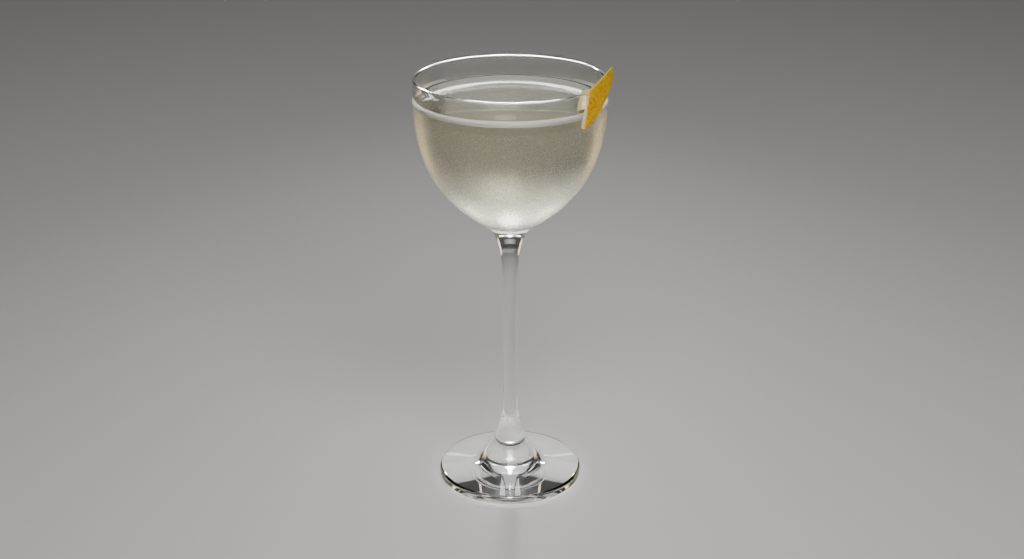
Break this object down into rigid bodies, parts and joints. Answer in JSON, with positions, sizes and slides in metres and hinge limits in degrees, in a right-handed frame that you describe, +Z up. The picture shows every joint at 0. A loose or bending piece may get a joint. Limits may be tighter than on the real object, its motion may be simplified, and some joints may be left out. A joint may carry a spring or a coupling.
{
  "type": "gin martini",
  "caption": "Clear cocktail in a thin rounded glass on a slim stem and flat foot, with a slit piece of lemon peel hung on the rim.",
  "frame": {"origin": "on the glass's axis, at the level of the foot's flat underside", "axes": "+Z up along the stem; +X towards the side where the lemon peel hangs, which is at the front right; -Y to the front"},
  "size_m": [0.0763, 0.075, 0.1773],
  "materials": {
    "clear_glass": "polished, thin and clear, the bowl misted outside",
    "pale_drink": "clear liquid with a very pale straw tint",
    "yellow_peel": "waxy pored zest with a matte cream pith"
  },
  "bodies": {
    "root": {"glass": "clear_glass", "drink": "pale_drink", "lemon_peel": "yellow_peel"}
  },
  "joints": []
}
